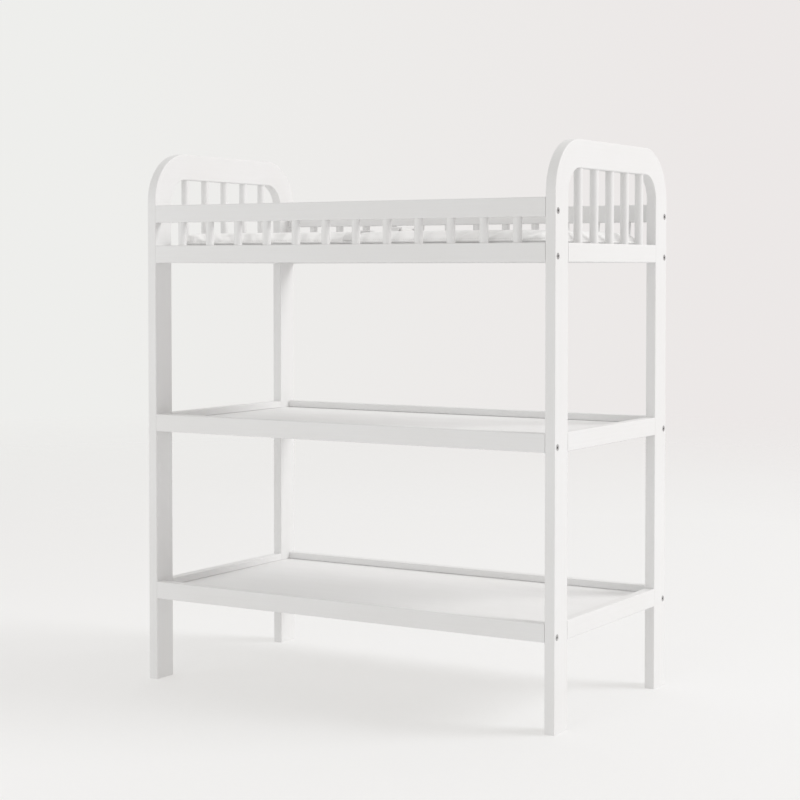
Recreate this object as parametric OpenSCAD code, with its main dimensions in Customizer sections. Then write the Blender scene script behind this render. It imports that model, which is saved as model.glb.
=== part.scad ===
// Open changing table: two arched end panels, a railed tray with a strapped pad,
// and two shelves below it. Millimetres, +Z up. The origin is on the floor under
// the middle of the table, +X to the right and -Y to the front.

/* [Overall] */
// Length over the outside of the two end panels
table_length = 900; // [700:1:1200]
// Depth over the outside of the posts
table_depth = 480; // [380:1:650]
// Height of the top of the arches above the floor
table_height = 1045; // [860:1:1300]

/* [End panels] */
// Thickness of the posts, the arches and the end rails
panel_thickness = 20; // [17:1:26]
// Width of a post and of the arched band above it
post_width = 51; // [40:1:66]
// Outside radius of the arch's corners
arch_radius = 98; // [80:1:130]
// Rounding of the long edges of posts, arches and rails
edge_radius = 2; // [1:0.5:4]

/* [Rails] */
// Height of every rail
rail_height = 34; // [30:1:45]
// Thickness of the front and back rails
rail_thickness = 20; // [16:1:26]
// Gap from the foot of the arch down to the top of the guard rail
guard_rail_gap = 7; // [2:1:30]
// Drop from the top of the guard rail to the top of the tray rail
guard_height = 79; // [65:1:130]

/* [Shelves] */
// Height of the middle shelf's rail tops above the floor
middle_shelf_height = 528; // [430:1:560]
// Height of the lower shelf's rail tops above the floor
lower_shelf_height = 195; // [120:1:280]
// Thickness of the tray board and of the shelf boards
board_thickness = 6; // [4:0.5:8]
// Drop from the rail tops to the top of the board
board_recess = 14; // [8:1:16]
// Depth of the groove that holds a board's edge
groove_depth = 3.5; // [2:0.5:5]

/* [Spindles] */
// Diameter of the spindles
spindle_diameter = 16; // [12:0.5:22]
// Number of spindles in the front guard and in the back guard
side_spindle_count = 12; // [4:1:13]
// Number of spindles in each end panel
end_spindle_count = 5; // [2:1:6]
// Diameter of the tenon on each end of a spindle
tenon_diameter = 10; // [8:0.5:12]
// Length of the tenon, which is the depth of its seat
tenon_length = 12; // [8:1:14]

/* [Fasteners] */
// Diameter of the connector bolts
bolt_diameter = 6; // [5:0.5:8]
// Length of a connector bolt from the face of its head to its tip
bolt_length = 50; // [44:1:70]
// Diameter of the countersunk bolt head
bolt_head_diameter = 12; // [10:0.5:14]
// Size of the hexagon socket across its flats
bolt_socket = 4; // [3:0.5:5]
// Height of a bolt's axis above the underside of its rail
bolt_rise = 10; // [8:1:12]
// Diameter of the barrel nuts
nut_diameter = 10; // [9:0.5:12]
// Length of a barrel nut
nut_length = 15; // [12:1:16]
// Diameter of the wooden dowels
dowel_diameter = 8; // [6:0.5:9]
// Length of a dowel
dowel_length = 30; // [24:1:34]

/* [Changing pad] */
// Thickness of the pad
pad_thickness = 36; // [20:1:60]
// Gap from each end of the pad to the end panel
pad_end_gap = 15; // [6:1:60]
// Gap from each long side of the pad to the rail
pad_side_gap = 12; // [6:1:40]
// Radius of the pad's corners seen from above
pad_corner_radius = 28; // [18:1:60]

/* [Safety strap] */
// Width of the webbing
webbing_width = 25; // [20:1:50]
// Thickness of the webbing
webbing_thickness = 1.6; // [1:0.1:2.5]
// Length of the buckle's socket half
socket_length = 42; // [24:1:48]
// Length of the buckle's tongue half outside the socket
tongue_length = 24; // [14:1:28]
// Height of the buckle
buckle_height = 10; // [8:0.5:14]
// Length of the free tail of webbing that lies in front of the buckle
tail_length = 110; // [50:5:120]
// Distance of the buckle's joint line in front of the middle of the pad
buckle_offset = 14; // [0:1:30]

/* [Hidden] */
$fn = 48;
SIDES = ["left", "right"];
LONG_SIDES = ["front", "back"];

// Clearances
bore_clearance = 0.4;   // on the diameter, around a bolt's shank
seat_clearance = 0.2;   // on the diameter, around a tenon, a dowel or a nut
board_clearance = 0.5;  // around a board's edge, and above it in its groove
webbing_clearance = 0.1; // between the webbing and what slides over it
prong_clearance = 0.4;  // between the buckle's prongs and its socket

// Frame
half_length = table_length / 2;
half_depth = table_depth / 2;
inner_half_length = half_length - panel_thickness;
inner_half_depth = half_depth - post_width;
post_height = table_height - arch_radius;
arch_underside = table_height - post_width;
guard_top = post_height - guard_rail_gap;
tray_top = guard_top - guard_height;

// Rail levels: name and height of the rail's top
LEVELS = [
    ["guard", guard_top],
    ["tray", tray_top],
    ["middle", middle_shelf_height],
    ["lower", lower_shelf_height]
];
END_LEVELS = [for (level = LEVELS) if (level[0] != "guard") level];

// Fastener places
dowel_rise = rail_height - bolt_rise;         // above the rail's underside
end_dowel_inset = 9;                          // from an end rail's top and underside
fastener_line = half_depth - rail_thickness / 2;
panel_line = half_length - panel_thickness / 2;
dowel_in_post = 12;
bolt_tip_past_nut = 2;
bolt_head_depth = (bolt_head_diameter - bolt_diameter) / 2;
bolt_bore_depth = bolt_length - panel_thickness + 4;
socket_depth = 3;
nut_setback = bolt_length - panel_thickness - bolt_tip_past_nut - nut_diameter / 2;
nut_slot = [nut_diameter - 3, 1.2, 1];        // screwdriver slot in the nut's end
arch_dowel_line = inner_half_depth + (post_width - rail_thickness) / 2;

// Boards: reach past the faces of the rails, and the corner notches around the posts
board_reach = groove_depth - board_clearance;
notch_size = post_width;
notch_centre = [
    inner_half_length - board_clearance + notch_size,
    inner_half_depth - board_clearance + notch_size
];

// Tray and pad
tray_floor = tray_top - board_recess;
pad_length = 2 * (inner_half_length - pad_end_gap);
pad_width = 2 * (half_depth - rail_thickness - pad_side_gap);
pad_middle = tray_floor + pad_thickness / 2;
pad_top = tray_floor + pad_thickness;

// Buckle
buckle_width = webbing_width + 8;
buckle_corner = 4;
buckle_wall = 2;
buckle_base = pad_top + webbing_thickness + webbing_clearance;
bar_length = 4;                               // the crossbar that holds the webbing
slot_length = 5;
prong_width = 4.5;
cavity_depth = socket_length - bar_length - slot_length - buckle_wall;
cavity_height = buckle_height - 2 * buckle_wall;
prong_reach = cavity_depth - 1;
prong_height = cavity_height - 2 * prong_clearance;
catch_place = [prong_reach * 0.5, prong_reach * 0.85];  // start and end of a prong's catch
release_travel = prong_reach + 3;             // the tongue's travel until it is free

// Centres of count pieces of diameter d with equal clear gaps across a span
function gap_centres(count, d, span) =
    let (gap = (span - count * d) / (count + 1))
    [for (i = [0 : count - 1]) -span / 2 + gap + d / 2 + i * (gap + d)];

side_spindle_places = gap_centres(side_spindle_count, spindle_diameter, 2 * inner_half_length);
end_spindle_places = gap_centres(end_spindle_count, spindle_diameter, 2 * inner_half_depth);

function side_sign(name) = name == "left" ? -1 : 1;
function long_sign(name) = name == "front" ? -1 : 1;

// ---- Shared shapes ----

// Rectangle about its centre with round corners
module soft_rectangle(size, r) {
    square([size[0] - 2 * r, size[1]], center = true);
    square([size[0], size[1] - 2 * r], center = true);
    for (x = [-1, 1], y = [-1, 1])
        translate([x * (size[0] / 2 - r), y * (size[1] / 2 - r)])
            circle(r);
}

// Bar along X about its centre
module bar_x(size) {
    rotate([90, 0, 90])
        linear_extrude(size[0], center = true)
            soft_rectangle([size[1], size[2]], edge_radius);
}

// Bar along Y about its centre
module bar_y(size) {
    rotate([90, 0, 0])
        linear_extrude(size[1], center = true)
            soft_rectangle([size[0], size[2]], edge_radius);
}

// Round bar along X or Y that is centred on the origin
module centred_rod(direction, length, d) {
    turn = direction == "x" ? [0, 90, 0] : [90, 0, 0];
    rotate(turn)
        cylinder(h = length, d = d, center = true);
}

// Bolt with its head's face at the origin and its shank along -X
module bolt_shape(shank_d, length) {
    rotate([0, -90, 0]) {
        cylinder(h = bolt_head_depth, d1 = bolt_head_diameter, d2 = shank_d);
        cylinder(h = length, d = shank_d);
    }
}

// Section through a slab with full round edges
module slab_section(span, thickness) {
    square([span - thickness, thickness], center = true);
    for (x = [-1, 1])
        translate([x * (span - thickness) / 2, 0])
            circle(d = thickness);
}

// ---- End panels ----

module post(long_name, side_name) {
    s = side_sign(side_name);
    f = long_sign(long_name);
    color("white")
        difference() {
            translate([s * panel_line, f * (half_depth - post_width / 2), 0])
                linear_extrude(post_height)
                    soft_rectangle([panel_thickness, post_width], edge_radius);
            for (level = LEVELS)
                post_side_bores(s, f, level[1] - rail_height);
            for (level = END_LEVELS)
                post_end_bores(s, f, level[1]);
            translate([s * panel_line, f * arch_dowel_line, post_height - dowel_length / 2])
                cylinder(h = dowel_length, d = dowel_diameter + seat_clearance);
        }
}

// Bolt hole through a post, and the dowel seat above it, for a front or back rail
module post_side_bores(s, f, rail_bottom) {
    translate([s * half_length, f * fastener_line, rail_bottom + bolt_rise])
        rotate([0, 0, s > 0 ? 0 : 180]) {
            bolt_shape(bolt_diameter + bore_clearance, panel_thickness + 1);
            bolt_shape(bolt_diameter, bolt_head_depth);
        }
    translate([s * (inner_half_length + dowel_in_post / 2), f * fastener_line, rail_bottom + dowel_rise])
        centred_rod("x", dowel_in_post, dowel_diameter + seat_clearance);
}

// Dowel seats in a post's inner edge for an end rail
module post_end_bores(s, f, rail_top) {
    for (z = [rail_top - end_dowel_inset, rail_top - rail_height + end_dowel_inset])
        translate([s * panel_line, f * inner_half_depth, z])
            centred_rod("y", dowel_length, dowel_diameter + seat_clearance);
}

module arch(side_name) {
    s = side_sign(side_name);
    color("white")
        difference() {
            translate([s * panel_line, 0, 0])
                arch_band();
            for (y = end_spindle_places)
                translate([s * panel_line, y, 0])
                    arch_spindle_seat();
            for (f = [-1, 1])
                translate([s * panel_line, f * arch_dowel_line, post_height - dowel_length / 2])
                    cylinder(h = dowel_length, d = dowel_diameter + seat_clearance);
        }
}

// Tenon seat in an arch, with room for the spindle itself where the arch curves down
module arch_spindle_seat() {
    translate([0, 0, arch_underside])
        cylinder(h = tenon_length, d = tenon_diameter + seat_clearance);
    translate([0, 0, post_height - 1])
        cylinder(h = arch_underside - post_height + 1, d = spindle_diameter + seat_clearance);
}

// The band over the posts: a straight crest between two quarter turns
module arch_band() {
    translate([0, 0, table_height - post_width / 2])
        bar_y([panel_thickness, table_depth - 2 * arch_radius, post_width]);
    for (f = [-1, 1])
        translate([0, f * (half_depth - arch_radius), post_height])
            rotate([90, 0, 90 * f])
                rotate_extrude(angle = 90)
                    translate([arch_radius - post_width / 2, 0])
                        soft_rectangle([post_width, panel_thickness], edge_radius);
}

module end_rail(side_name, rail_top) {
    s = side_sign(side_name);
    color("white")
        difference() {
            translate([s * panel_line, 0, rail_top - rail_height / 2])
                bar_y([panel_thickness, 2 * inner_half_depth, rail_height]);
            board_groove(rail_top);
            if (rail_top == tray_top)
                for (y = end_spindle_places)
                    translate([s * panel_line, y, tray_top - tenon_length])
                        cylinder(h = tenon_length, d = tenon_diameter + seat_clearance);
            for (f = [-1, 1])
                post_end_bores(s, f, rail_top);
        }
}

module end_spindles(side_name) {
    for (y = end_spindle_places)
        translate([side_sign(side_name) * panel_line, y, 0])
            spindle(tray_top, arch_underside);
}

// ---- Front and back ----

module side_rail(long_name, level) {
    f = long_sign(long_name);
    rail_top = level[1];
    rail_bottom = rail_top - rail_height;
    color("white")
        difference() {
            translate([0, f * fastener_line, rail_top - rail_height / 2])
                bar_x([2 * inner_half_length, rail_thickness, rail_height]);
            for (s = [-1, 1])
                rail_end_bores(s, f, rail_bottom);
            if (level[0] != "guard")
                board_groove(rail_top);
            if (level[0] == "guard")
                spindle_seats(f, rail_bottom);
            if (level[0] == "tray")
                spindle_seats(f, rail_top - tenon_length);
        }
}

// Bolt bore, barrel nut bore and dowel seat in one end of a front or back rail
module rail_end_bores(s, f, rail_bottom) {
    translate([s * inner_half_length, f * fastener_line, rail_bottom]) {
        translate([0, 0, bolt_rise])
            centred_rod("x", 2 * bolt_bore_depth, bolt_diameter + bore_clearance);
        translate([0, 0, dowel_rise])
            centred_rod("x", 2 * (dowel_length - dowel_in_post), dowel_diameter + seat_clearance);
        translate([-s * nut_setback, 0, 0])
            cylinder(h = bolt_rise + nut_length / 2, d = nut_diameter + seat_clearance);
    }
}

module spindle_seats(f, seat_bottom) {
    for (x = side_spindle_places)
        translate([x, f * fastener_line, seat_bottom])
            cylinder(h = tenon_length, d = tenon_diameter + seat_clearance);
}

// Turned spindle on the Z axis between two rail faces, with a tenon at each end
module spindle(bottom, top) {
    color("white") {
        translate([0, 0, bottom])
            cylinder(h = top - bottom, d = spindle_diameter);
        translate([0, 0, bottom - tenon_length])
            cylinder(h = top - bottom + 2 * tenon_length, d = tenon_diameter);
    }
}

module side_spindle(long_name, i) {
    translate([side_spindle_places[i - 1], long_sign(long_name) * fastener_line, 0])
        spindle(tray_top, guard_top - rail_height);
}

// ---- Boards ----

// Rectangle inside one level's rails, reaching past their inner faces
module rail_frame_plan(reach) {
    square([2 * (inner_half_length + reach), 2 * (half_depth - rail_thickness + reach)], center = true);
}

// The space that a board's groove takes around the inside of one level's rails
module board_groove(rail_top) {
    translate([0, 0, rail_top - board_recess - board_thickness])
        linear_extrude(board_thickness + board_clearance)
            rail_frame_plan(groove_depth);
}

// Board in its grooves, notched at the corners around the posts
module board(rail_top) {
    color("white")
        translate([0, 0, rail_top - board_recess - board_thickness])
            linear_extrude(board_thickness)
                difference() {
                    rail_frame_plan(board_reach);
                    for (x = [-1, 1], y = [-1, 1])
                        translate([x * notch_centre[0], y * notch_centre[1]])
                            square(2 * notch_size, center = true);
                }
}

// ---- Fasteners ----

module connector_bolts() {
    color("silver")
        for (s = [-1, 1], f = [-1, 1], level = LEVELS)
            translate([s * half_length, f * fastener_line, level[1] - rail_height + bolt_rise])
                rotate([0, 0, s > 0 ? 0 : 180])
                    difference() {
                        bolt_shape(bolt_diameter, bolt_length);
                        rotate([0, -90, 0])
                            cylinder(h = socket_depth, d = bolt_socket / cos(30), $fn = 6);
                    }
}

module barrel_nuts() {
    color("silver")
        for (s = [-1, 1], f = [-1, 1], level = LEVELS)
            translate([
                s * (inner_half_length - nut_setback),
                f * fastener_line,
                level[1] - rail_height + bolt_rise
            ])
                difference() {
                    cylinder(h = nut_length, d = nut_diameter, center = true);
                    centred_rod("x", 2 * nut_diameter, bolt_diameter);
                    translate([0, 0, nut_slot[2] / 2 - nut_length / 2])
                        cube(nut_slot, center = true);
                }
}

module side_rail_dowels() {
    color("burlywood")
        for (s = [-1, 1], f = [-1, 1], level = LEVELS)
            translate([
                s * (inner_half_length + dowel_in_post - dowel_length / 2),
                f * fastener_line,
                level[1] - rail_height + dowel_rise
            ])
                centred_rod("x", dowel_length, dowel_diameter);
}

module end_panel_dowels() {
    color("burlywood")
        for (s = [-1, 1], f = [-1, 1]) {
            for (level = END_LEVELS)
                for (z = [level[1] - end_dowel_inset, level[1] - rail_height + end_dowel_inset])
                    translate([s * panel_line, f * inner_half_depth, z])
                        centred_rod("y", dowel_length, dowel_diameter);
            translate([s * panel_line, f * arch_dowel_line, post_height - dowel_length / 2])
                cylinder(h = dowel_length, d = dowel_diameter);
        }
}

// ---- Pad and strap ----

module changing_pad() {
    color("whitesmoke")
        translate([0, 0, pad_middle])
            intersection() {
                rotate([90, 0, 90])
                    linear_extrude(pad_length, center = true)
                        slab_section(pad_width, pad_thickness);
                rotate([90, 0, 0])
                    linear_extrude(pad_width, center = true)
                        slab_section(pad_length, pad_thickness);
                linear_extrude(pad_thickness, center = true)
                    soft_rectangle([pad_length, pad_width], pad_corner_radius);
            }
}

// Webbing from the pad's side seam, up round its edge and in to the buckle
module strap(f, inner_end) {
    reach = pad_width;
    added = 2 * webbing_thickness;
    color("ghostwhite")
        translate([0, 0, pad_middle])
            rotate([90, 0, 90])
                linear_extrude(webbing_width, center = true)
                    intersection() {
                        difference() {
                            slab_section(pad_width + added, pad_thickness + added);
                            slab_section(pad_width, pad_thickness);
                        }
                        translate([f > 0 ? inner_end : -inner_end - reach, 0])
                            square([reach, pad_thickness]);
                    }
}

// The free end of the webbing, on top of the front strap, which moves with the tongue
module strap_tail() {
    color("ghostwhite")
        translate([-webbing_width / 2, -buckle_offset - tongue_length - tail_length, buckle_base])
            cube([webbing_width, tail_length, webbing_thickness]);
}

// Outline of a buckle half from above, from y = 0 to its length
module buckle_plan(length) {
    translate([0, length / 2])
        soft_rectangle([buckle_width, length], buckle_corner);
    translate([-buckle_width / 2, 0])
        square([buckle_width, length / 2]);
}

// The cut that the webbing passes through, just inside a half's crossbar
module webbing_slot(length) {
    translate([-(webbing_width + 1) / 2, length - bar_length - slot_length, -1])
        cube([webbing_width + 1, slot_length, buckle_height + 2]);
}

// Socket: a flat sleeve with a window in each side for the catches, and a slotted bar
module buckle_socket() {
    cavity_width = buckle_width - 2 * buckle_wall;
    window = [catch_place[0] - prong_clearance, catch_place[1] + prong_clearance];
    color("white")
        translate([0, -buckle_offset, buckle_base])
            difference() {
                linear_extrude(buckle_height)
                    buckle_plan(socket_length);
                translate([-cavity_width / 2, -1, buckle_wall])
                    cube([cavity_width, cavity_depth + 1, cavity_height]);
                translate([-buckle_width, window[0], buckle_wall])
                    cube([2 * buckle_width, window[1] - window[0], cavity_height]);
                webbing_slot(socket_length);
            }
}

// Tongue: a slotted head, a centre guide and two side prongs inside the socket
module buckle_tongue() {
    prong_outside = buckle_width / 2 - buckle_wall - prong_clearance;
    color("white")
        translate([0, -buckle_offset, buckle_base]) {
            mirror([0, 1, 0])
                difference() {
                    linear_extrude(buckle_height)
                        buckle_plan(tongue_length);
                    webbing_slot(tongue_length);
                }
            translate([0, 0, buckle_wall + prong_clearance]) {
                translate([-prong_width / 2, -1, 0])
                    cube([prong_width, prong_reach * 0.7 + 1, prong_height]);
                prong(prong_outside);
                mirror([1, 0, 0])
                    prong(prong_outside);
            }
        }
}

// One prong: a slim shank, and a catch that shows in the socket's window
module prong(outside) {
    translate([outside - prong_width, -1, 0])
        cube([prong_width * 0.55, prong_reach + 1, prong_height]);
    translate([outside - prong_width, catch_place[0], 0])
        cube([prong_width, catch_place[1] - catch_place[0], prong_height]);
}

// ---- Nodes ----

for (f = LONG_SIDES, s = SIDES)
    post(f, s);
for (s = SIDES)
    arch(s);
for (s = SIDES, level = END_LEVELS)
    end_rail(s, level[1]);
for (s = SIDES)
    end_spindles(s);
for (f = LONG_SIDES, level = LEVELS)
    side_rail(f, level);
for (f = LONG_SIDES, i = [1 : side_spindle_count])
    side_spindle(f, i);
board(tray_top);  // tray_board
board(middle_shelf_height);  // middle_shelf_board
board(lower_shelf_height);  // lower_shelf_board
connector_bolts();
barrel_nuts();
side_rail_dowels();
end_panel_dowels();
changing_pad();
strap(-1, buckle_offset + tongue_length + release_travel);  // front_strap
strap(1, socket_length - bar_length - buckle_offset);  // back_strap
strap_tail();
buckle_tongue();
buckle_socket();
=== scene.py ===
"""Looks of the changing table: painted wood, boards, padded cover, webbing, buckle, floor and light."""
import math

import bpy
import numpy as np
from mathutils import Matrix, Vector, noise
from mathutils.bvhtree import BVHTree


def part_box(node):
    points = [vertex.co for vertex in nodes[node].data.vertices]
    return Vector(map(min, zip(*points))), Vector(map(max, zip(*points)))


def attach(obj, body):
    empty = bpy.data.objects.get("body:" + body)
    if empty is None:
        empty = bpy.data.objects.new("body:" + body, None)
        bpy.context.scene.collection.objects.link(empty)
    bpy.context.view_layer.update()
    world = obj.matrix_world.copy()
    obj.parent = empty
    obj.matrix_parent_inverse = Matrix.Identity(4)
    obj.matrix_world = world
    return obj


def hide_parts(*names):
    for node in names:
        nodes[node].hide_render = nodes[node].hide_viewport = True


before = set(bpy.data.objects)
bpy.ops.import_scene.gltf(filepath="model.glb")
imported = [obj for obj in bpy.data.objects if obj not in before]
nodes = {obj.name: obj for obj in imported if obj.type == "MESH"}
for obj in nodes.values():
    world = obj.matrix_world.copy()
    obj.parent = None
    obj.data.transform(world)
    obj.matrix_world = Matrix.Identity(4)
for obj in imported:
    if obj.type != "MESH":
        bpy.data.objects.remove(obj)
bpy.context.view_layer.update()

scene = bpy.context.scene
MM = 0.001


# ---- Material building ----

class Surface:
    """One procedural material. Lengths are in metres, and patterns follow the piece's own coordinates."""

    FLAT_DOT, EDGE_DOT = 0.995, 0.80     # of a face's normal and the rounded one, on a flat and on an edge

    def __init__(self, name):
        self.material = bpy.data.materials.new(name)
        self.material.use_nodes = True
        self.tree = self.material.node_tree
        self.shader = self.tree.nodes["Principled BSDF"]
        self.place = self.add("ShaderNodeTexCoord").outputs["Object"]

    def add(self, kind, **settings):
        node = self.tree.nodes.new(kind)
        for key, value in settings.items():
            setattr(node, key, value)
        return node

    def feed(self, socket, value):
        """Links an output to the socket, or sets the socket to a number or a colour."""
        if isinstance(value, bpy.types.NodeSocket):
            self.tree.links.new(value, socket)
        else:
            socket.default_value = value

    def stretched(self, per_metre):
        """Coordinates in which a pattern repeats so many times per metre along X, Y and Z."""
        mapping = self.add("ShaderNodeMapping")
        self.feed(mapping.inputs["Vector"], self.place)
        mapping.inputs["Scale"].default_value = per_metre
        return mapping.outputs["Vector"]

    def noise(self, per_metre, detail=3.0, roughness=0.55):
        texture = self.add("ShaderNodeTexNoise")
        self.feed(texture.inputs["Vector"], self.stretched(per_metre))
        texture.inputs["Scale"].default_value = 1.0
        texture.inputs["Detail"].default_value = detail
        texture.inputs["Roughness"].default_value = roughness
        return texture.outputs["Fac"]

    def ranged(self, value, low, high, to_low=0.0, to_high=1.0):
        node = self.add("ShaderNodeMapRange")
        self.feed(node.inputs["Value"], value)
        for socket, number in zip(("From Min", "From Max", "To Min", "To Max"), (low, high, to_low, to_high)):
            node.inputs[socket].default_value = number
        return node.outputs["Result"]

    def math(self, operation, a, b=0.0):
        node = self.add("ShaderNodeMath", operation=operation)
        self.feed(node.inputs[0], a)
        self.feed(node.inputs[1], b)
        return node.outputs["Value"]

    def mixed(self, share, first, second, blend="MIX"):
        node = self.add("ShaderNodeMix", data_type="RGBA", blend_type=blend)
        factor, a, b = node.inputs[0], node.inputs[6], node.inputs[7]
        self.feed(factor, share)
        self.feed(a, first)
        self.feed(b, second)
        return node.outputs[2]

    def bumped(self, height, depth, strength=1.0, under=None):
        """A bump of that depth in metres, on top of another one."""
        node = self.add("ShaderNodeBump")
        self.feed(node.inputs["Height"], height)
        node.inputs["Distance"].default_value = depth
        node.inputs["Strength"].default_value = strength
        if under is not None:
            self.feed(node.inputs["Normal"], under)
        return node.outputs["Normal"]

    def edge(self, radius, samples=4):
        """1 at the piece's edges and 0 on its flats."""
        bevel = self.add("ShaderNodeBevel", samples=samples)
        bevel.inputs["Radius"].default_value = radius
        geometry = self.add("ShaderNodeNewGeometry")
        dot = self.add("ShaderNodeVectorMath", operation="DOT_PRODUCT")
        self.feed(dot.inputs[0], bevel.outputs["Normal"])
        self.feed(dot.inputs[1], geometry.outputs["Normal"])
        return self.ranged(dot.outputs["Value"], self.FLAT_DOT, self.EDGE_DOT)

    def clouded(self, per_metre, first, second):
        """One colour that drifts into another in soft clouds."""
        cloud = self.noise((per_metre,) * 3, detail=2.0)
        return cloud, self.mixed(self.ranged(cloud, 0.35, 0.65), first, second)

    def rough_between(self, first, second, smooth, rough):
        """A roughness that follows the sum of two noises."""
        return self.ranged(self.math("ADD", first, second), 0.7, 1.3, smooth, rough)

    def set(self, **sockets):
        for name, value in sockets.items():
            self.feed(self.shader.inputs[name.replace("_", " ")], value)
        return self


def grey(level, warmth=0.0):
    """A pale neutral, slightly warm or cool."""
    return (level * (1 + warmth), level, level * (1 - 1.6 * warmth), 1.0)


# Repeats per metre of the wood's patterns under the paint
GRAIN_ALONG, GRAIN_ACROSS = 9.0, 330.0
PORE_ALONG, PORE_ACROSS = 45.0, 1500.0
PAINT_IOR = 1.47
EDGE_WEAR = 1.8 * MM             # width of the worn band along an edge


def along(axis, run, cross):
    """Repeats per metre for a grain that runs along axis 0, 1 or 2."""
    return tuple(run if k == axis else cross for k in range(3))


def painted_wood(axis):
    """Satin white paint over solid wood whose grain runs along one axis."""
    s = Surface("painted_wood_" + "xyz"[axis])
    grain = s.noise(along(axis, GRAIN_ALONG, GRAIN_ACROSS), detail=4.0)
    pores = s.noise(along(axis, PORE_ALONG, PORE_ACROSS), detail=2.0)
    peel = s.noise((420.0, 420.0, 420.0), detail=1.5)
    cloud, colour = s.clouded(5.0, grey(0.835, 0.0), grey(0.818, 0.003))
    colour = s.mixed(s.ranged(grain, 0.40, 0.72, 0.0, 0.30), colour, grey(0.79, 0.006))
    patches = s.ranged(s.noise((60.0, 60.0, 60.0)), 0.42, 0.62, 0.10, 0.65)
    worn = s.math("MULTIPLY", s.edge(EDGE_WEAR), patches)
    colour = s.mixed(worn, colour, grey(0.77, 0.012))
    roughness = s.rough_between(grain, cloud, 0.36, 0.50)
    normal = s.bumped(grain, 0.035 * MM, 0.45)
    normal = s.bumped(pores, 0.02 * MM, 0.5, normal)
    normal = s.bumped(peel, 0.025 * MM, 0.5, normal)
    s.set(Base_Color=colour, Roughness=roughness, Normal=normal, IOR=PAINT_IOR)
    return s.material


def painted_board():
    """Rolled satin paint on a smooth fibreboard panel."""
    s = Surface("painted_board")
    roller = s.noise((260.0, 260.0, 260.0), detail=2.0)
    streak = s.noise((4.0, 38.0, 38.0), detail=3.0)
    _, colour = s.clouded(3.5, grey(0.87, 0.0), grey(0.85, 0.003))
    colour = s.mixed(s.ranged(streak, 0.45, 0.75, 0.0, 0.25), colour, grey(0.825, 0.006))
    roughness = s.rough_between(roller, streak, 0.40, 0.54)
    normal = s.bumped(streak, 0.03 * MM, 0.4)
    normal = s.bumped(roller, 0.04 * MM, 0.5, normal)
    s.set(Base_Color=colour, Roughness=roughness, Normal=normal, IOR=PAINT_IOR)
    return s.material


def plated_metal(name, level, warmth, roughness):
    """Turned and plated steel."""
    s = Surface(name)
    turned = s.noise((2400.0, 500.0, 500.0), detail=2.0)
    blotch = s.noise((240.0, 240.0, 240.0), detail=3.0)
    colour = s.mixed(s.ranged(blotch, 0.4, 0.7), grey(level, warmth), grey(level * 0.72, warmth + 0.01))
    edge = s.edge(0.5 * MM)
    colour = s.mixed(edge, colour, grey(min(level * 1.25, 0.9), warmth))
    rough = s.rough_between(turned, blotch, roughness - 0.07, roughness + 0.12)
    s.set(Base_Color=colour, Metallic=1.0, Roughness=rough, Normal=s.bumped(turned, 0.01 * MM, 0.6))
    return s.material


def raw_beech():
    """Fluted dowel wood, unpainted."""
    s = Surface("raw_beech")
    fleck = s.noise((220.0, 1400.0, 1400.0), detail=3.0)
    ring = s.noise((30.0, 300.0, 300.0), detail=4.0)
    colour = s.mixed(s.ranged(ring, 0.35, 0.7), (0.72, 0.52, 0.33, 1.0), (0.58, 0.38, 0.22, 1.0))
    colour = s.mixed(s.ranged(fleck, 0.55, 0.75, 0.0, 0.5), colour, (0.42, 0.25, 0.13, 1.0))
    normal = s.bumped(fleck, 0.04 * MM, 0.6)
    s.set(Base_Color=colour, Roughness=s.ranged(ring, 0.3, 0.7, 0.55, 0.75), Normal=normal)
    return s.material


def thread_bands(s, pitch):
    """Crossed threads at a pitch in metres, on faces of any direction."""
    per_metre = 1.0 / pitch
    sway = s.math("MULTIPLY", s.noise((90.0, 90.0, 90.0)), 0.9)
    split = s.add("ShaderNodeSeparateXYZ")
    s.feed(split.inputs["Vector"], s.stretched((per_metre,) * 3))
    bands = [
        s.math("SINE", s.math("MULTIPLY", s.math("ADD", split.outputs[axis], sway), 2 * math.pi))
        for axis in range(3)
    ]
    return s.math("MAXIMUM", s.math("MAXIMUM", bands[0], bands[1]), bands[2])


COTTON_PITCH = 1.3 * MM


def coated_cotton(name, level):
    """Wipe-clean cotton cover: a fine weave under a satin coating."""
    s = Surface(name)
    weave = thread_bands(s, COTTON_PITCH)
    slub = s.noise((160.0, 520.0, 520.0), detail=3.0)
    cloud, colour = s.clouded(7.0, grey(level, 0.001), grey(level * 0.98, 0.004))
    colour = s.mixed(s.ranged(weave, -0.2, 0.9, 0.35, 0.0), colour, grey(level * 0.92, 0.006))
    roughness = s.rough_between(slub, cloud, 0.48, 0.64)
    normal = s.bumped(slub, 0.06 * MM, 0.5)
    normal = s.bumped(weave, 0.035 * MM, 0.55, normal)
    s.set(Base_Color=colour, Roughness=roughness, Normal=normal)
    s.set(Sheen_Weight=0.45, Sheen_Roughness=0.45)
    return s.material


PICK_PITCH = 0.95 * MM           # of the webbing's crosswise threads, along the strap
HERRINGBONE = 2.8 * MM           # width of two of the slanted columns that the threads form


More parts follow.
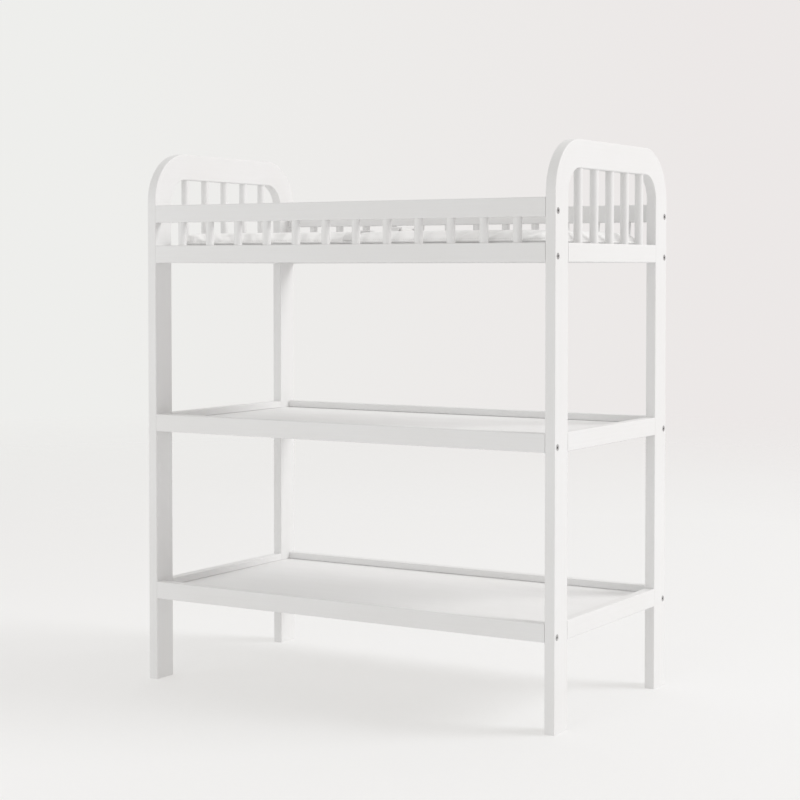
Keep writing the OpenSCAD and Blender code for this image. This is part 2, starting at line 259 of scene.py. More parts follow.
def nylon_webbing():
    """White webbing with slanted crosswise threads, from its map's lengthwise and crosswise metres."""
    s = Surface("nylon_webbing")
    split = s.add("ShaderNodeSeparateXYZ")
    s.feed(split.inputs["Vector"], s.add("ShaderNodeTexCoord").outputs["UV"])
    run, across = split.outputs[0], split.outputs[1]
    lean = s.math("PINGPONG", s.math("MULTIPLY", across, 1 / HERRINGBONE), 0.5)
    turns = s.math("ADD", s.math("DIVIDE", run, PICK_PITCH), lean)
    picks = s.math("SINE", s.math("MULTIPLY", turns, 2 * math.pi))
    fibre = s.noise((3000.0, 900.0, 900.0), detail=2.0)
    cloud = s.noise((30.0, 30.0, 30.0), detail=2.0)
    colour = s.mixed(s.ranged(picks, -0.9, 0.6, 0.5, 0.0), grey(0.84, 0.002), grey(0.70, 0.006))
    colour = s.mixed(s.ranged(cloud, 0.4, 0.7, 0.0, 0.4), colour, grey(0.79, 0.006))
    normal = s.bumped(picks, 0.10 * MM, 0.7)
    normal = s.bumped(fibre, 0.03 * MM, 0.6, normal)
    roughness = s.ranged(fibre, 0.3, 0.7, 0.5, 0.7)
    s.set(Base_Color=colour, Roughness=roughness, Normal=normal, Sheen_Weight=0.2)
    return s.material


def sewing_thread():
    """Twisted white thread."""
    s = Surface("sewing_thread")
    twist = s.noise((2600.0, 2600.0, 2600.0), detail=1.0)
    colour = s.mixed(s.ranged(twist, 0.35, 0.65), grey(0.80, 0.004), grey(0.66, 0.01))
    roughness = s.ranged(twist, 0.3, 0.7, 0.45, 0.6)
    s.set(Base_Color=colour, Roughness=roughness, Normal=s.bumped(twist, 0.05 * MM))
    return s.material


def moulded_plastic():
    """White moulded buckle plastic with a fine spark-eroded texture."""
    s = Surface("moulded_plastic")
    spark = s.noise((1900.0, 1900.0, 1900.0), detail=2.0)
    flow = s.noise((80.0, 200.0, 200.0), detail=3.0)
    colour = s.mixed(s.ranged(flow, 0.35, 0.65), grey(0.80, 0.002), grey(0.765, 0.008))
    colour = s.mixed(s.math("MULTIPLY", s.edge(0.5 * MM), 0.35), colour, grey(0.88, 0.0))
    roughness = s.rough_between(spark, flow, 0.30, 0.46)
    s.set(Base_Color=colour, Roughness=roughness, Normal=s.bumped(spark, 0.02 * MM, 0.6), IOR=1.5)
    return s.material


# ---- Mesh building ----

def add_mesh(name, vertices, faces, material, smooth=True):
    mesh = bpy.data.meshes.new(name)
    mesh.from_pydata([tuple(v) for v in vertices], [], faces)
    mesh.validate()
    piece = bpy.data.objects.new(name, mesh)
    scene.collection.objects.link(piece)
    mesh.materials.append(material)
    if smooth:
        mesh.shade_smooth()
    return piece


def finish_piece(piece, body, slot, *stands_for):
    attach(piece, body)
    if stands_for:
        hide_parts(*stands_for)
    return piece


def evaluated_mesh(piece):
    return bpy.data.meshes.new_from_object(piece.evaluated_get(bpy.context.evaluated_depsgraph_get()))


def coordinates(mesh):
    flat = np.zeros(len(mesh.vertices) * 3, np.float32)
    mesh.vertices.foreach_get("co", flat)
    return flat.reshape(-1, 3).astype(float)


def set_coordinates(mesh, points):
    mesh.vertices.foreach_set("co", points.astype(np.float32).ravel())
    mesh.update()


def smoothstep(value, low, high):
    t = np.clip((value - low) / (high - low), 0.0, 1.0)
    return t * t * (3 - 2 * t)


def outline(half_x, half_y, radius, spacing):
    """Points and outward normals round a rectangle with round corners, evenly spaced, anticlockwise."""
    straight_x, straight_y, turn = 2 * (half_x - radius), 2 * (half_y - radius), math.pi / 2 * radius
    lengths = [straight_y, turn, straight_x, turn, straight_y, turn, straight_x, turn]
    total = sum(lengths)
    count = int(total / spacing)
    corners = [(1, 1), (-1, 1), (-1, -1), (1, -1)]
    found = []
    for i in range(count):
        run = i * total / count
        k = 0
        while run > lengths[k]:
            run -= lengths[k]
            k += 1
        angle = (k // 2) * math.pi / 2
        if k % 2:
            cx, cy = corners[k // 2]
            angle += run / radius
            x = cx * (half_x - radius) + radius * math.cos(angle)
            y = cy * (half_y - radius) + radius * math.sin(angle)
        else:
            side = Vector((math.cos(angle), math.sin(angle)))
            forward = Vector((-side.y, side.x))
            reach, span = (half_x, half_y - radius) if k % 4 == 0 else (half_y, half_x - radius)
            x, y = side * reach + forward * (run - span)
        found.append((Vector((x, y)), Vector((math.cos(angle), math.sin(angle)))))
    return found


def ring_faces(rings, around, closed):
    """Quads between consecutive rings of points."""
    faces = []
    for i in range(rings if closed else rings - 1):
        j = (i + 1) % rings
        for k in range(around):
            m = (k + 1) % around
            faces.append((i * around + k, i * around + m, j * around + m, j * around + k))
    return faces


# ---- Sizes from the frame ----

PAD_LOW, PAD_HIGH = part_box("changing_pad")
PAD_HALF = (PAD_HIGH - PAD_LOW) / 2
PAD_MIDDLE = (PAD_HIGH.z + PAD_LOW.z) / 2
EDGE_RADIUS = PAD_HALF.z
SOCKET_LOW, SOCKET_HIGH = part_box("buckle_socket")
TONGUE_LOW, TONGUE_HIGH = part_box("buckle_tongue")
TAIL_LOW, TAIL_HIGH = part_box("strap_tail")
WEBBING_HALF = TAIL_HIGH.x
WEBBING_THICK = TAIL_HIGH.z - TAIL_LOW.z
FRONT_STRAP_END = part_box("front_strap")[1].y

PIPING_RADIUS = 1.9 * MM
PAD_CORNER = 28 * MM
PAD_INSET = 2.4 * MM             # from the CAD side to the cover's fabric, which leaves room for the piping
PAD_CROWN = 2.2 * MM             # of the cover over the CAD's flat top
SIDE_PULL = 3.5 * MM             # how far a side pulls in, halfway between two corners
LONG_SIDE_PULL = 0.6 * SIDE_PULL
SEAM_STEP = 4.2 * MM             # height of the stitch line above the side seam
SIDE_HALF = PAD_HALF.y - PAD_INSET
STRAP_SIDE = SIDE_HALF - LONG_SIDE_PULL  # where the straps pass over the long sides
STRAP_LIFT = 0.03 * MM           # of the webbing over the pad's nominal surface
BESIDE_STRAP = 1 * MM            # kept free of stitches on each side of the webbing
ABOVE_BOARD = 0.1 * MM           # of the cover over the tray board


# ---- Pad ----

START_THINNER = 4 * MM           # half of what the simulation has to add to the thickness
START_INSET = 1.5 * MM           # what it has to add to each side
VOXEL = 5.2 * MM
SEAM_BAND = 2.8 * MM             # half height of the band that stays put in the simulation
MOST_SWELL = 7.5 * MM            # cap on how far a point moves
SWELL_FRAMES = 20
PRESSURE = 4.0


def pad_start():
    """A closed slab, thinner than the pad, that the cloth simulation swells."""
    thin = PAD_HALF.z - START_THINNER
    steps = 8
    rings = []
    for k in range(steps + 1):
        angle = math.pi * (k / steps - 0.5)
        shrink = START_INSET + thin * (1 - math.cos(angle))
        ring = outline(PAD_HALF.x - PAD_INSET - shrink, SIDE_HALF - shrink, PAD_CORNER - shrink, 6 * MM)
        rings.append([(p.x, p.y, PAD_MIDDLE + thin * math.sin(angle)) for p, _ in ring])
    count = min(len(r) for r in rings)
    vertices = []
    for ring in rings:
        vertices += [ring[int(i * len(ring) / count)] for i in range(count)]
    faces = ring_faces(len(rings), count, closed=False)
    faces.append(tuple(reversed(range(count))))
    faces.append(tuple(range((len(rings) - 1) * count, len(rings) * count)))
    return vertices, faces


def remesh(piece, voxel):
    modifier = piece.modifiers.new("even_quads", "REMESH")
    modifier.mode = "VOXEL"
    modifier.voxel_size = voxel
    mesh = evaluated_mesh(piece)
    piece.modifiers.remove(modifier)
    piece.data = mesh


def swell(piece, pinned):
    """Inflates the cover with Cloth while its side seam stays put, and caps how far a point moves."""
    start = coordinates(piece.data)
    group = piece.vertex_groups.new(name="seam")
    group.add([int(i) for i in np.nonzero(pinned)[0]], 1.0, "REPLACE")
    cloth = piece.modifiers.new("swell", "CLOTH")
    cloth.settings.vertex_group_mass = "seam"
    cloth.settings.quality = 5
    cloth.settings.use_pressure = True
    cloth.settings.uniform_pressure_force = PRESSURE
    cloth.settings.shrink_min = -0.035
    cloth.settings.tension_stiffness = 18
    cloth.settings.bending_stiffness = 0.4
    cloth.settings.effector_weights.gravity = 0.0
    cloth.point_cache.frame_start = 1
    cloth.point_cache.frame_end = SWELL_FRAMES
    for number in range(1, SWELL_FRAMES + 1):
        scene.frame_set(number)
    result = evaluated_mesh(piece)
    end = coordinates(result)
    piece.modifiers.remove(cloth)
    scene.frame_set(1)
    move = end - start
    distance = np.linalg.norm(move, axis=1)
    # Eases the distance into the cap, so that no flat terrace shows where the cap begins
    kept = MOST_SWELL * np.tanh(distance / MOST_SWELL)
    set_coordinates(piece.data, start + move * (kept / np.maximum(distance, 1e-9))[:, None])


PULL_FROM_X, PULL_FROM_Y = 0.30, 0.10   # where the pull of the sides begins, in from the pad's middle
STRAP_DIP = 26 * MM              # how far beside the strap the cover is drawn down
PRESSED = 0.25 * MM              # how far the strap presses the cover in


def shape_pad(points):
    """Pulls the sides in, crowns the top, flattens the underside and presses the cover under the strap."""
    p = points.copy()
    reach_x, reach_y = PAD_HALF.x - PAD_CORNER, PAD_HALF.y - PAD_CORNER
    bow_y = np.clip(1 - (p[:, 0] / reach_x) ** 2, 0, 1)
    bow_y *= smoothstep(np.abs(p[:, 1]), PULL_FROM_Y, PAD_HALF.y)
    bow_x = np.clip(1 - (p[:, 1] / reach_y) ** 2, 0, 1)
    bow_x *= smoothstep(np.abs(p[:, 0]), PULL_FROM_X, PAD_HALF.x)
    p[:, 1] -= np.sign(p[:, 1]) * LONG_SIDE_PULL * bow_y
    p[:, 0] -= np.sign(p[:, 0]) * SIDE_PULL * bow_x
    strap = 1 - smoothstep(np.abs(p[:, 0]), WEBBING_HALF + BESIDE_STRAP, WEBBING_HALF + STRAP_DIP)
    # Section across the pad: distance from the flat core with round edges, as the webbing lies on it
    core = STRAP_SIDE - EDGE_RADIUS
    rise = p[:, 2] - PAD_MIDDLE
    beside = np.maximum(np.abs(p[:, 1]) - core, 0.0)
    outward = np.hypot(beside, rise)
    crown = np.where(rise > 0, PAD_CROWN, -ABOVE_BOARD)
    limit = EDGE_RADIUS + crown * (1 - strap) - PRESSED * strap
    keep = np.minimum(1.0, limit / np.maximum(outward, 1e-9))
    p[:, 2] = PAD_MIDDLE + rise * keep
    squeezed = np.sign(p[:, 1]) * (core + beside * keep)
    under_strap = (beside > 0) & (strap > 0)
    p[:, 1] = np.where(under_strap, p[:, 1] + (squeezed - p[:, 1]) * strap, p[:, 1])
    p[:, 2] = np.maximum(p[:, 2], PAD_LOW.z + ABOVE_BOARD)
    return p


def add_pad(material):
    vertices, faces = pad_start()
    pad = add_mesh("padded_cover", vertices, faces, material)
    remesh(pad, VOXEL)
    points = coordinates(pad.data)
    beside = np.maximum(
        np.abs(points[:, 0]) - (PAD_HALF.x - PAD_CORNER), np.abs(points[:, 1]) - (PAD_HALF.y - PAD_CORNER)
    )
    seam = (np.abs(points[:, 2] - PAD_MIDDLE) < SEAM_BAND) & (beside > 0)
    swell(pad, seam)
    smooth = pad.modifiers.new("soft", "SUBSURF")
    smooth.levels = smooth.render_levels = 1
    mesh = evaluated_mesh(pad)
    pad.modifiers.remove(smooth)
    pad.data = mesh
    set_coordinates(mesh, shape_pad(coordinates(mesh)))
    mesh.shade_smooth()
    if not mesh.materials:
        mesh.materials.append(material)
    finish_piece(pad, "pad", "pad_cover", "changing_pad")
    return pad


RAY_START = 30 * MM              # outside the pad


def side_point(tree, place, normal, height):
    """Where the cover's side is at that height, coming in along the outline's normal."""
    start = Vector((place.x, place.y, height)) + normal.to_3d() * RAY_START
    hit, facing, _, _ = tree.ray_cast(start, -normal.to_3d())
    return hit, facing


def smoothed(values, width):
    """Circular running mean."""
    kernel = np.ones(2 * width + 1) / (2 * width + 1)
    padded = np.concatenate([values[-width:], values, values[:width]])
    return np.convolve(padded, kernel, mode="valid")


def add_piping(tree, material):
    """Corded piping in the side seam, all round the pad."""
    around = 10
    proud = 0.5 * MM             # of the cord's middle over the cover
    sway_height = 0.35 * MM
    path = outline(PAD_HALF.x - PAD_INSET, SIDE_HALF, PAD_CORNER, 3 * MM)
    depth = []
    for place, normal in path:
        hit, _ = side_point(tree, place, normal, PAD_MIDDLE)
        depth.append((hit.to_2d() - place).dot(normal) if hit else 0.0)
    depth = smoothed(np.array(depth), 4)
    vertices = []
    for i, (place, normal) in enumerate(path):
        centre = place + normal * (depth[i] + proud)
        radius = PIPING_RADIUS * (1 + 0.05 * noise.noise(Vector((i * 0.9, 3.1, 0.0))))
        sway = sway_height * noise.noise(Vector((i * 0.05, 0.0, 7.7)))
        for k in range(around):
            angle = 2 * math.pi * k / around
            place_out = centre + normal * radius * math.cos(angle)
            height = PAD_MIDDLE + radius * math.sin(angle) + sway
            vertices.append((place_out.x, place_out.y, height))
    piece = add_mesh("seam_piping", vertices, ring_faces(len(path), around, closed=True), material)
    return finish_piece(piece, "pad", "pad_cover")


def add_stitch(vertices, faces, start, end, up, radius):
    """One stitch: a short thread that arches out of the cloth and dives back into it."""
    run = end - start
    side = run.cross(up).normalized()
    steps, around = 4, 6
    sunk, rise = 0.6, 1.1        # of the ends into the cloth, and of the middle from there, in radii
    thin = 0.55                  # the ends' share of the full radius
    first = len(vertices)
    for i in range(steps + 1):
        t = i / steps
        hump = math.sin(math.pi * t)
        centre = start + run * t + up * radius * (rise * hump - sunk)
        girth = radius * (thin + (1 - thin) * hump)
        for k in range(around):
            angle = 2 * math.pi * k / around
            vertices.append(centre + side * girth * math.cos(angle) + up * girth * math.sin(angle))
    for face in ring_faces(steps + 1, around, closed=False):
        faces.append(tuple(first + v for v in face))
    faces.append(tuple(first + k for k in reversed(range(around))))
    faces.append(tuple(first + steps * around + k for k in range(around)))


def add_seam_stitches(tree, material):
    """The row of stitches just above the piping."""
    spacing, length, radius = 4.6 * MM, 3.2 * MM, 0.32 * MM
    vertices, faces = [], []
    for place, normal in outline(PAD_HALF.x - PAD_INSET, SIDE_HALF, PAD_CORNER, spacing):
        if abs(place.x) < WEBBING_HALF + BESIDE_STRAP:
            continue
        hit, facing = side_point(tree, place, normal, PAD_MIDDLE + SEAM_STEP)
        if hit is None:
            continue
        forward = Vector((-normal.y, normal.x, 0.0)) * length / 2
        add_stitch(vertices, faces, hit - forward, hit + forward, facing, radius)
    piece = add_mesh("seam_stitches", vertices, faces, material)
    return finish_piece(piece, "pad", "pad_cover")


# ---- Straps ----

def filleted(corners, radius, spacing):
    """A line of points in the YZ plane through corners that are rounded off, evenly spaced."""
    line = [Vector(corners[0])]
    for before, corner, after in zip(corners, corners[1:], corners[2:]):
        before, corner, after = Vector(before), Vector(corner), Vector(after)
        into, out = (corner - before).normalized(), (after - corner).normalized()
        cut = min(radius, (corner - before).length * 0.49, (after - corner).length * 0.49)
        start, end = corner - into * cut, corner + out * cut
        for k in range(9):
            t = k / 8
            line.append(start * (1 - t) ** 2 + corner * 2 * t * (1 - t) + end * t * t)
    line.append(Vector(corners[-1]))
    reach = np.concatenate([[0.0], np.cumsum([(b - a).length for a, b in zip(line, line[1:])])])
    count = max(2, int(reach[-1] / spacing))
    places = np.linspace(0.0, reach[-1], count + 1)
    ys = np.interp(places, reach, [p[0] for p in line])
    zs = np.interp(places, reach, [p[1] for p in line])
    return [Vector((y, z)) for y, z in zip(ys, zs)]


class Webbing:
    """A flat woven strap that follows a line in the YZ plane."""

    COLUMNS = 9                  # lengthwise ribs across the strap
    RIB = 0.09 * MM

    def __init__(self, line):
        self.line = line
        steps = [(b - a).length for a, b in zip(line, line[1:])]
        self.run = np.concatenate([[0.0], np.cumsum(steps)])
        self.length = self.run[-1]

    def at(self, run, across, lift):
        """The point so far along the strap, so far across it, and so far out from its middle layer."""
        run = min(max(run, 0.0), self.length)
        i = min(int(np.searchsorted(self.run, run, side="right")) - 1, len(self.line) - 2)
        ahead = self.line[min(i + 2, len(self.line) - 1)] - self.line[max(i - 1, 0)]
        ahead.normalize()
        t = (run - self.run[i]) / (self.run[i + 1] - self.run[i])
        y, z = self.line[i].lerp(self.line[i + 1], t)
        return Vector((across, y - ahead.y * lift, z + ahead.x * lift))

    def section(self):
        """Across and lift of the points round the strap's section, with ribs and soft selvedges."""
        half = WEBBING_THICK / 2
        flat = 36
        top = []
        for k in range(flat + 1):
            v = -1 + 2 * k / flat
            rib = self.RIB * math.cos(math.pi * self.COLUMNS * v)
            selvedge = half * (1 - 0.55 * max(0.0, (abs(v) - 0.955) / 0.045) ** 2)
            top.append((v * WEBBING_HALF, selvedge - self.RIB + rib))
        return top + [(across, -lift) for across, lift in reversed(top)]

    def build(self, name, material):
        section = self.section()
        around = len(section)
        vertices = [self.at(run, across, lift) for run in self.run for across, lift in section]
        faces = ring_faces(len(self.run), around, closed=False)
        faces.append(tuple(reversed(range(around))))
        faces.append(tuple(range((len(self.run) - 1) * around, len(self.run) * around)))
        piece = add_mesh(name, vertices, faces, material)
        layer = piece.data.uv_layers.new(name="weave")
        for loop in piece.data.loops:
            ring, k = divmod(loop.vertex_index, around)
            layer.data[loop.index].uv = (self.run[ring], section[k][0])
        return piece

    def sew(self, name, strokes, material, side=1):
        """Rows of stitches along strokes from (run, across) to (run, across), on one face of the strap."""
        spacing, length, radius = 2.6 * MM, 1.9 * MM, 0.28 * MM
        lift = side * WEBBING_THICK / 2
        vertices, faces = [], []
        for (run_a, across_a), (run_b, across_b) in strokes:
            reach = math.hypot(run_b - run_a, across_b - across_a)
            count = max(1, int(reach / spacing))
            for i in range(count):
                ends = [((i + 0.5) * spacing + sign * length / 2) / reach for sign in (-1, 1)]
                places = [(run_a + (run_b - run_a) * t, across_a + (across_b - across_a) * t) for t in ends]
                a, b = [self.at(run, across, lift) for run, across in places]
                centre = run_a + (run_b - run_a) * ends[0]
                up = (self.at(centre, 0.0, 1.0) - self.at(centre, 0.0, 0.0)).normalized() * side
                add_stitch(vertices, faces, a, b, up, radius)
        return add_mesh(name, vertices, faces, material)


def box_and_cross(start, end, half):
    """A sewn rectangle with its two diagonals."""
    a, b, c, d = (start, -half), (end, -half), (end, half), (start, half)
    return [(a, b), (b, c), (c, d), (d, a), (a, c), (b, d)]


def over_the_edge(side):
    """Corners of the strap's middle line from the side seam, round the pad's edge and on to its top."""
    radius = EDGE_RADIUS + STRAP_LIFT + WEBBING_THICK / 2
    core = STRAP_SIDE - EDGE_RADIUS
    first, last, steps = math.radians(9), math.radians(90), 16
    angles = [first + (last - first) * k / steps for k in range(steps + 1)]
    return [(side * (core + radius * math.cos(a)), PAD_MIDDLE + radius * math.sin(a)) for a in angles]


WEB_SPACING = 1.0 * MM
ON_PAD = PAD_HIGH.z + STRAP_LIFT + WEBBING_THICK / 2    # middle of the layer that lies on the pad
ON_STRAP = TAIL_LOW.z + WEBBING_THICK / 2               # middle of a layer that lies on that one
ON_BAR = SOCKET_HIGH.z + 0.15 * MM + WEBBING_THICK / 2  # middle of the layer over a buckle's crossbar
BAR, SLOT = 4 * MM, 5 * MM       # a buckle half's crossbar and the slot inside it, along the strap
AROUND_BAR = WEBBING_THICK / 2 + 0.5 * MM   # from a crossbar's outer edge to the webbing that turns round it
RAMP = 9 * MM                    # length over which the webbing comes down from a crossbar
FOLDED_BACK = 44 * MM            # length of the back strap that is folded back and sewn down
HEM = 15 * MM                    # length of the tail's end that is turned over
FOLD_RADIUS = 1.6 * MM
SEAM_SEWING = (27 * MM, 44 * MM)  # the box that holds a strap to the pad, from the side seam
SEW_HALF = WEBBING_HALF - 3 * MM


def add_front_strap(webbing, thread):
    strap = Webbing(filleted(over_the_edge(-1) + [(FRONT_STRAP_END, ON_PAD)], 0.4 * MM, WEB_SPACING))
    finish_piece(strap.build("front_strap_webbing", webbing), "pad", "webbing", "front_strap")
    sewn = strap.sew("front_strap_sewing", box_and_cross(*SEAM_SEWING, SEW_HALF), thread, side=-1)
    finish_piece(sewn, "pad", "webbing")


def add_back_strap(webbing, thread):
    """From the back seam, under the socket's crossbar, up through its slot and back on itself."""
    slot_middle = SOCKET_HIGH.y - BAR - SLOT / 2
    past_bar = SOCKET_HIGH.y + AROUND_BAR
    corners = over_the_edge(1) + [
        (slot_middle, ON_PAD),
        (slot_middle, ON_BAR),
        (past_bar, ON_BAR),
        (past_bar + RAMP, ON_STRAP),
        (past_bar + FOLDED_BACK, ON_STRAP),
    ]
    strap = Webbing(filleted(corners, FOLD_RADIUS, WEB_SPACING))
    finish_piece(strap.build("back_strap_webbing", webbing), "pad", "webbing", "back_strap")
    end = strap.length
    strokes = box_and_cross(*SEAM_SEWING, SEW_HALF)
    finish_piece(strap.sew("back_strap_sewing", strokes, thread), "pad", "webbing")
    strokes = box_and_cross(end - 27 * MM, end - 4 * MM, SEW_HALF)
    finish_piece(strap.sew("back_fold_sewing", strokes, thread, side=-1), "pad", "webbing")


def add_tail(webbing, thread):
    """The free end with its sewn hem, and the loop through the tongue's slot. It moves with the tongue."""
    slot_middle = TONGUE_LOW.y + BAR + SLOT / 2
    before_bar = TONGUE_LOW.y - AROUND_BAR
    hem_top = ON_STRAP + WEBBING_THICK + 0.1 * MM
    end = TAIL_LOW.y + WEBBING_THICK / 2
    corners = [
        (end + HEM, hem_top),
        (end, hem_top),
        (end, ON_STRAP),
        (before_bar - RAMP, ON_STRAP),
        (before_bar, ON_BAR),
        (slot_middle, ON_BAR),
        (slot_middle, ON_PAD),
        (TONGUE_LOW.y, ON_PAD),
    ]
    strap = Webbing(filleted(corners, FOLD_RADIUS, WEB_SPACING))
    finish_piece(strap.build("strap_tail_webbing", webbing), "tongue", "webbing", "strap_tail")
    sewn = strap.sew("tail_hem_sewing", box_and_cross(2.5 * MM, 12 * MM, SEW_HALF), thread, side=-1)
    finish_piece(sewn, "tongue", "webbing")


# ---- Buckle ----

def add_grip_ribs(material):
    """Three low ribs on the socket, where the thumb presses."""
    radius, half, around = 0.9 * MM, 7 * MM, 10
    first_rib, pitch, flatness = 3.2 * MM, 2.6 * MM, 0.55
    tapered_end = ((1.0, 0.15), (0.94, 0.7), (0.82, 1.0))    # share of the half length, and of the radius
    profile = [(-x, share) for x, share in tapered_end] + list(reversed(tapered_end))
    turns = [2 * math.pi * k / around for k in range(around)]
    vertices, faces = [], []
    for i in range(3):
        y = SOCKET_LOW.y + first_rib + pitch * i
        rings = []
        for x, share in profile:
            girth = radius * share
            rings.append([
                (x * half, y + girth * math.cos(turn), SOCKET_HIGH.z + flatness * girth * math.sin(turn))
                for turn in turns
            ])
        first = len(vertices)
        vertices += [v for ring in rings for v in ring]
        faces += [tuple(first + v for v in face) for face in ring_faces(len(rings), around, closed=False)]
        faces.append(tuple(first + k for k in reversed(range(around))))
        faces.append(tuple(first + (len(rings) - 1) * around + k for k in range(around)))
    piece = add_mesh("buckle_grip_ribs", vertices, faces, material)
    return finish_piece(piece, "pad", "buckle_plastic")


def soften(piece, radius):
    """Rounds a moulding's edges without touching its mesh."""
    weld = piece.modifiers.new("weld", "WELD")
    weld.merge_threshold = 0.001 * MM
    bevel = piece.modifiers.new("moulded_edges", "BEVEL")
    bevel.width = radius
    bevel.segments = 3
    bevel.limit_method = "ANGLE"
    bevel.angle_limit = math.radians(40)
    bevel.harden_normals = True


# ---- Table materials ----

def dress_table():
    wood = [painted_wood(axis) for axis in range(3)]
    board = painted_board()
    metal = plated_metal("nickel_plate", 0.58, 0.0, 0.32)
    zinc = plated_metal("zinc_plate", 0.60, 0.012, 0.34)
    beech = raw_beech()
    for name, node in nodes.items():
        if name.endswith("_post") or "spindle" in name:
            made = wood[2]
        elif name.endswith("_arch") or name.endswith("_end_rail"):
            made = wood[1]
        elif name.endswith("_rail"):
            made = wood[0]
        elif name.endswith("_board"):
            made = board
        elif name == "connector_bolts":
            made = metal
        elif name == "barrel_nuts":
            made = zinc
        elif name.endswith("_dowels"):
            made = beech
        else:
            continue
        for slot in node.material_slots:
            slot.material = made


def dress_buckle(plastic):
    for name in ("buckle_tongue", "buckle_socket"):
        for slot in nodes[name].material_slots:
            slot.material = plastic
        soften(nodes[name], 0.7 * MM)


# ---- Floor, light and camera ----

CAMERA_PLACE = Vector((1.9154, -3.1591, 0.8129))
CAMERA_YAW = math.radians(31.288)
CAMERA_DOWN = math.radians(2.0)
LENS = 84.61
LENS_SHIFT = (-0.0038, -0.0804)


FLOOR_RADIUS = 9.0
FLOOR_SIDES = 128
FLOOR_FADE = (2.6, 7.0)          # from the middle to where the fade begins and where it ends
FLOOR_TONE = 0.88
FLOOR_GLOW = 0.46                # share of the floor's tone that is its own, which keeps shadows on it light


def add_floor():
    """A wide pale disc that fades into the background far from the table."""
    s = Surface("pale_floor")
    speck = s.noise((90.0, 90.0, 90.0), detail=2.0)
    lit = FLOOR_TONE * (1 - FLOOR_GLOW)
    _, colour = s.clouded(0.6, grey(lit, -0.022), grey(lit * 0.985, -0.020))
    s.set(Base_Color=colour, Roughness=s.ranged(speck, 0.3, 0.7, 0.75, 0.85), Specular_IOR_Level=0.25)
    s.set(Emission_Color=grey(FLOOR_TONE, 0.03), Emission_Strength=FLOOR_GLOW)
    distance = s.add("ShaderNodeVectorMath", operation="LENGTH")
    s.feed(distance.inputs[0], s.place)
    clear = s.add("ShaderNodeBsdfTransparent")
    fade = s.add("ShaderNodeMixShader")
    s.feed(fade.inputs[0], s.ranged(distance.outputs["Value"], *FLOOR_FADE))
    s.feed(fade.inputs[1], s.shader.outputs["BSDF"])
    s.feed(fade.inputs[2], clear.outputs["BSDF"])
    s.feed(s.tree.nodes["Material Output"].inputs["Surface"], fade.outputs["Shader"])
    turns = [2 * math.pi * k / FLOOR_SIDES for k in range(FLOOR_SIDES)]
    rim = [(FLOOR_RADIUS * math.cos(turn), FLOOR_RADIUS * math.sin(turn), 0.0) for turn in turns]
    floor = add_mesh("floor", rim, [tuple(range(len(rim)))], s.material, smooth=False)


BACKGROUND_LEFT = (0.856, 0.856, 0.838, 1.0)
BACKGROUND_RIGHT = (0.838, 0.808, 0.800, 1.0)
FRONT_TONE = (0.70, 0.70, 0.70, 1.0)   # of the light from behind the camera, against the background's
SIDE_TONE = (0.86, 0.86, 0.86, 1.0)    # of the light from beyond the picture's right edge


def add_world():
    """Soft light from all round in the background's tone, dimmer behind the camera and to its right."""
    world = bpy.data.worlds.new("studio")
    scene.world = world
    world.use_nodes = True
    tree = world.node_tree
    camera_right = (math.cos(CAMERA_YAW), math.sin(CAMERA_YAW), 0.0)
    direction = tree.nodes.new("ShaderNodeTexCoord").outputs["Generated"]

    def share_towards(axis, low, high):
        dot = tree.nodes.new("ShaderNodeVectorMath")
        dot.operation = "DOT_PRODUCT"
        dot.inputs[1].default_value = axis
        tree.links.new(direction, dot.inputs[0])
        share = tree.nodes.new("ShaderNodeMapRange")
        share.inputs["From Min"].default_value = low
        share.inputs["From Max"].default_value = high
        tree.links.new(dot.outputs["Value"], share.inputs["Value"])
        return share.outputs["Result"]

    def mixed(share, first, second, blend):
        mix = tree.nodes.new("ShaderNodeMix")
        mix.data_type = "RGBA"
        mix.blend_type = blend
        tree.links.new(share, mix.inputs[0])
        for socket, value in ((mix.inputs[6], first), (mix.inputs[7], second)):
            if isinstance(value, bpy.types.NodeSocket):
                tree.links.new(value, socket)
            else:
                socket.default_value = value
        return mix.outputs[2]

    rightward = share_towards(camera_right, -0.16, 0.16)
    sideward = share_towards(camera_right, 0.35, 0.75)
    frontward = share_towards((0.0, -1.0, 0.0), -0.2, 0.3)
    colour = mixed(rightward, BACKGROUND_LEFT, BACKGROUND_RIGHT, "MIX")
    colour = mixed(sideward, colour, SIDE_TONE, "MULTIPLY")
    colour = mixed(frontward, colour, FRONT_TONE, "MULTIPLY")
    tree.links.new(colour, tree.nodes["Background"].inputs["Color"])
    tree.nodes["Background"].inputs["Strength"].default_value = 1.0


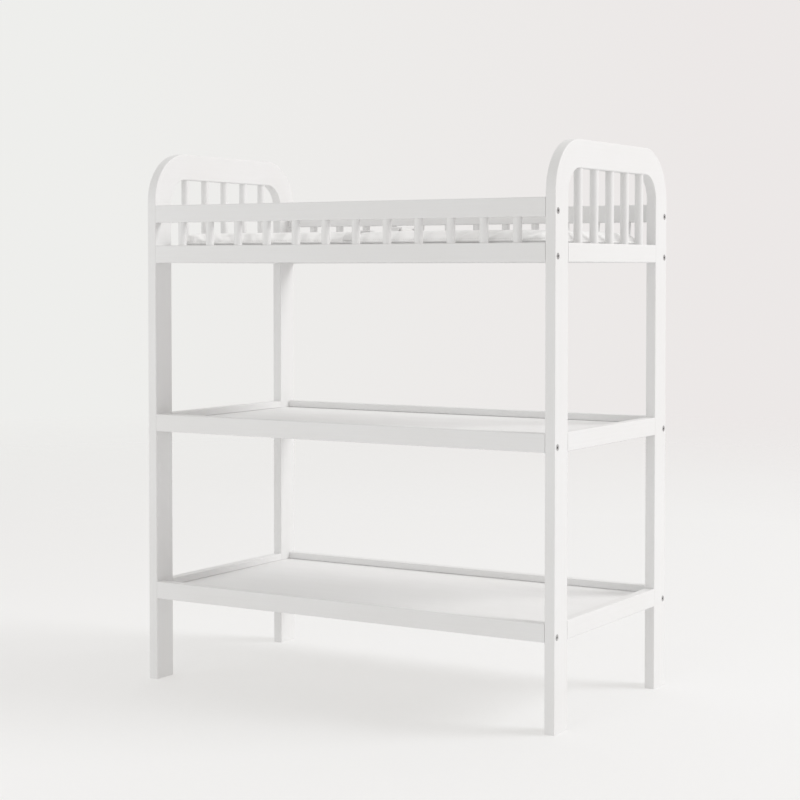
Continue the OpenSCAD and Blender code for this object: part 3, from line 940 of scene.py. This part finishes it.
LIGHT_TARGET = Vector((0.0, 0.0, 0.5))
KEY_COLOUR = (0.985, 0.99, 0.985)
FRONT_COLOUR = (1.0, 0.99, 0.985)
FILL_COLOUR = (1.0, 1.0, 1.0)


def add_area_light(name, direction, distance, size, power, colour):
    """A disc light that faces the target from a direction and a distance."""
    lamp = bpy.data.lights.new(name, "AREA")
    lamp.shape = "DISK"
    lamp.size = size
    lamp.energy = power
    lamp.color = colour
    light = bpy.data.objects.new(name, lamp)
    scene.collection.objects.link(light)
    toward = Vector(direction).normalized()
    light.location = LIGHT_TARGET + toward * distance
    light.rotation_mode = "QUATERNION"
    light.rotation_quaternion = toward.to_track_quat("Z", "Y")


def add_camera():
    camera = bpy.data.objects.new("camera", bpy.data.cameras.new("camera"))
    scene.collection.objects.link(camera)
    camera.location = CAMERA_PLACE
    camera.rotation_euler = (math.pi / 2 - CAMERA_DOWN, 0.0, CAMERA_YAW)
    camera.data.lens = LENS
    camera.data.sensor_width = 36.0
    camera.data.shift_x, camera.data.shift_y = LENS_SHIFT
    camera.data.clip_end = 60.0
    scene.camera = camera


add_camera()
add_world()
add_floor()
add_area_light("key_light", (1.35, 0.65, 1.0), 9.0, 4.5, 355.0, KEY_COLOUR)
add_area_light("front_light", (0.15, -1.6, 0.55), 5.0, 2.5, 24.0, FRONT_COLOUR)
add_area_light("front_fill", (-1.3, -1.1, 0.15), 1.75, 0.8, 1.8, FILL_COLOUR)
scene.view_settings.view_transform = "Standard"

dress_table()
cover = coated_cotton("coated_cotton", 0.90)
thread = sewing_thread()
webbing = nylon_webbing()
plastic = moulded_plastic()
pad = add_pad(cover)
pad_points = [v.co.copy() for v in pad.data.vertices]
pad_tree = BVHTree.FromPolygons(pad_points, [tuple(p.vertices) for p in pad.data.polygons])
add_piping(pad_tree, coated_cotton("piping_cotton", 0.88))
add_seam_stitches(pad_tree, thread)
add_front_strap(webbing, thread)
add_back_strap(webbing, thread)
add_tail(webbing, thread)
dress_buckle(plastic)
add_grip_ribs(plastic)
